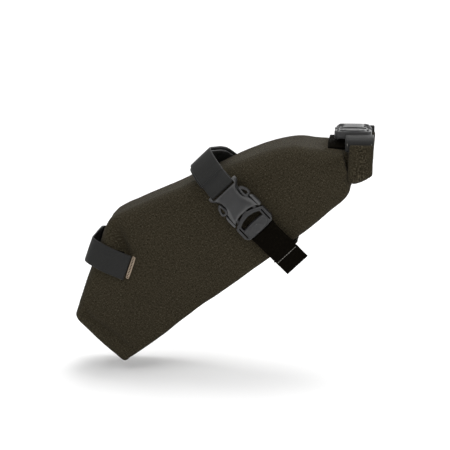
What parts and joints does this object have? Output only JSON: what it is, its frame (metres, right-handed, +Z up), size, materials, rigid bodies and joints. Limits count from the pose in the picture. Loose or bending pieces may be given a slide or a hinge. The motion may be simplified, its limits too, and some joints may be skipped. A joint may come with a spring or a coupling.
{
  "type": "saddle bag",
  "caption": "Tapered roll-top bicycle saddle bag with a rail strap and side-release buckle, a nose band for the seatpost and a buckled roll-top closure.",
  "frame": {"origin": "underside of the rail strap's loop, where the saddle rails bear, on the middle plane", "axes": "+Z up as mounted on the bicycle, +X to the rear, +Y to the far side"},
  "size_m": [0.271, 0.1132, 0.218],
  "materials": {
    "coated_fabric": "dark olive, heathered, coated",
    "black_webbing": "ribbed, matt",
    "grey_webbing": "smooth, close-woven",
    "moulded_plastic": "satin",
    "stiffener_sheet": "matt",
    "grip_rubber": "matt",
    "thread": "matt"
  },
  "bodies": {
    "bag": {"base_panel": "coated_fabric", "near_side_panel": "coated_fabric", "top_panel": "coated_fabric", "far_side_panel": "coated_fabric", "nose_panel": "coated_fabric", "nose_stiffener": "stiffener_sheet", "base_stiffener": "stiffener_sheet", "seatpost_patch": "grip_rubber", "nose_band_far_end": "grey_webbing", "band_hook_patch": "black_webbing", "band_bartack": "thread", "rail_strap": "grey_webbing", "rail_strap_liner": "grey_webbing", "strap_anchor_far": "coated_fabric", "strap_anchor_base": "coated_fabric", "lower_strap": "black_webbing", "main_buckle_socket": "moulded_plastic"},
    "main_plug": {"main_buckle_plug": "moulded_plastic"},
    "main_prong_front": {"main_prong_front": "moulded_plastic"},
    "main_prong_rear": {"main_prong_rear": "moulded_plastic"},
    "tail": {"strap_tail": "black_webbing", "strap_tail_hem": "black_webbing"},
    "roll_top": {"roll_middle": "coated_fabric", "roll_arm_near": "coated_fabric", "roll_arm_far": "coated_fabric", "mouth_collar": "coated_fabric", "mouth_stiffener": "stiffener_sheet", "roll_tab_far": "grey_webbing", "closure_pad": "black_webbing", "roll_buckle_socket": "moulded_plastic"},
    "roll_plug": {"roll_buckle_plug": "moulded_plastic", "roll_tab_near": "grey_webbing"},
    "roll_prong_front": {"roll_prong_front": "moulded_plastic"},
    "roll_prong_rear": {"roll_prong_rear": "moulded_plastic"},
    "nose_band": {"nose_band": "grey_webbing"}
  },
  "joints": [
    {"name": "main_buckle_release", "type": "slide", "parent": "bag", "child": "main_plug", "axis": [0.7193, 0, -0.6947], "range_m": [0, 0.03], "deforming": ["main_prong_front", "main_prong_rear", "lower_strap"]},
    {"name": "main_prong_front_press", "type": "hinge", "parent": "main_plug", "child": "main_prong_front", "pos_m": [0.03704, -0.0547, -0.05196], "axis": [0, 1, 0], "range_deg": [0, 7], "stiffness_Nm_per_rad": 0.02},
    {"name": "main_prong_rear_press", "type": "hinge", "parent": "main_plug", "child": "main_prong_rear", "pos_m": [0.05085, -0.0547, -0.03863], "axis": [0, -1, 0], "range_deg": [0, 7], "stiffness_Nm_per_rad": 0.02},
    {"name": "tail_swing", "type": "hinge", "parent": "main_plug", "child": "tail", "pos_m": [0.05662, -0.0565, -0.05842], "axis": [-0.7193, 0, -0.6947], "range_deg": [0, 60]},
    {"name": "roll_top_open", "type": "hinge", "parent": "bag", "child": "roll_top", "pos_m": [0.1317, 0, -0.0206], "axis": [0, 1, 0], "range_deg": [0, 80]},
    {"name": "roll_buckle_release", "type": "slide", "parent": "roll_top", "child": "roll_plug", "axis": [0, -1, 0], "range_m": [0, 0.03], "deforming": ["roll_prong_front", "roll_prong_rear"]},
    {"name": "roll_prong_front_press", "type": "hinge", "parent": "roll_plug", "child": "roll_prong_front", "pos_m": [0.1264, -0.008, 0.0234], "axis": [0, 0, -1], "range_deg": [0, 7], "stiffness_Nm_per_rad": 0.02},
    {"name": "roll_prong_rear_press", "type": "hinge", "parent": "roll_plug", "child": "roll_prong_rear", "pos_m": [0.1456, -0.008, 0.0234], "axis": [0, 0, 1], "range_deg": [0, 7], "stiffness_Nm_per_rad": 0.02},
    {"name": "nose_band_peel", "type": "hinge", "parent": "bag", "child": "nose_band", "pos_m": [-0.10456, 0.0235, -0.08598], "axis": [-0.3349, 0, -0.9422], "range_deg": [0, 110]}
  ]
}
